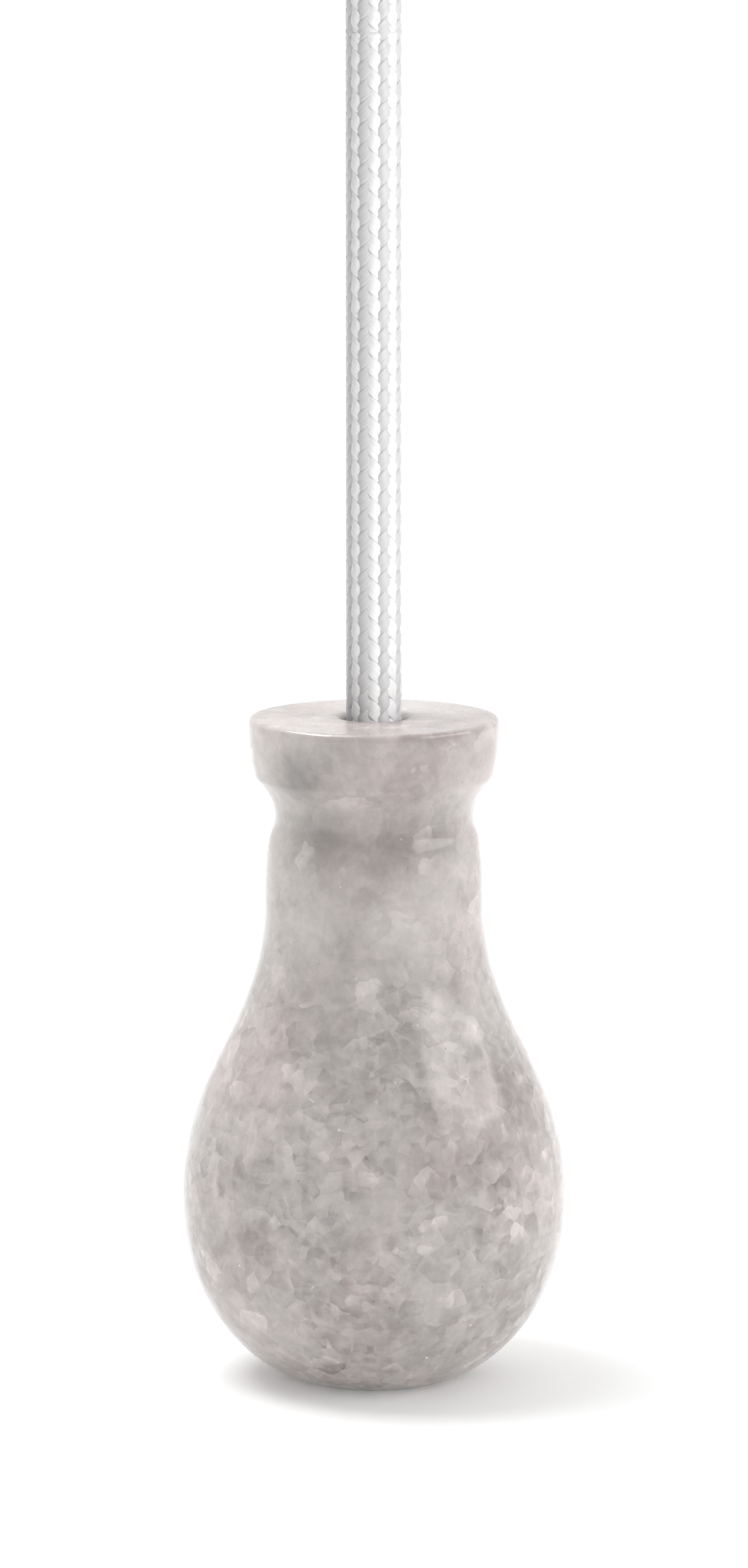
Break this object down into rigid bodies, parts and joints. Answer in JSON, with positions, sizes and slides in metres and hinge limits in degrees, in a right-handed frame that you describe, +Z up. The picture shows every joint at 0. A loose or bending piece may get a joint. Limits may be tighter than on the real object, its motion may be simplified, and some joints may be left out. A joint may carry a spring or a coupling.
{
  "type": "plumb bob",
  "caption": "Pear-shaped turned marble bob on a taut braided cord, with a hidden stopper knot and washer below and a two-part screw connector at the cord's top end.",
  "frame": {"origin": "centre of the switch-cord hole in the connector's top face, the highest point of the object", "axes": "+Z up along the cord and the stone's axis, +X to the right and +Y away from the viewer as seen in the picture"},
  "size_m": [0.0344, 0.0344, 0.158],
  "materials": {
    "marble": "polished coarse-grained marble, pale grey with a pink cast",
    "cord_braid": "white polyester braid with a silky sheen",
    "cord_melt": "melted and set polyester, glossy",
    "washer_steel": "zinc-plated, tumbled",
    "nickel": "satin nickel plate"
  },
  "bodies": {
    "connector_top": {"connector_cap": "nickel"},
    "cord_head": {"upper_knot": "cord_braid", "upper_tail": "cord_braid", "upper_tip": "cord_melt", "cord_neck": "cord_braid"},
    "connector_bottom": {"connector_base": "nickel"},
    "cord_bend": {"cord_upper": "cord_braid"},
    "cord_run": {"cord_lower": "cord_braid", "stop_knot": "cord_braid", "lower_tail": "cord_braid", "lower_tip": "cord_melt"},
    "washer": {"stop_washer": "washer_steel"},
    "bob": {"stone_body": "marble"}
  },
  "joints": [
    {"name": "connector_travel", "type": "slide", "parent": "connector_top", "child": "cord_head", "axis": [0, 0, -1], "range_m": [0, 0.0075]},
    {"name": "connector_turn", "type": "hinge", "parent": "cord_head", "child": "connector_bottom", "pos_m": [0, 0, -0.0115], "axis": [0, 0, 1], "range_deg": [-2160, 0]},
    {"name": "swing_side", "type": "hinge", "parent": "cord_head", "child": "cord_bend", "pos_m": [0, 0, -0.0325], "axis": [0, 1, 0], "range_deg": [-45, 45]},
    {"name": "swing_front", "type": "hinge", "parent": "cord_bend", "child": "cord_run", "pos_m": [0, 0, -0.042], "axis": [1, 0, 0], "range_deg": [-45, 45]},
    {"name": "bob_spin", "type": "hinge", "parent": "cord_run", "child": "washer", "pos_m": [0, 0, -0.1365], "axis": [0, 0, 1], "continuous": true},
    {"name": "bob_lift", "type": "slide", "parent": "washer", "child": "bob", "axis": [0, 0, 1], "range_m": [0, 0.05]}
  ],
  "couplings": [
    {"joint": "connector_turn", "follows": "connector_travel", "rad_per_m": -5026.5}
  ]
}
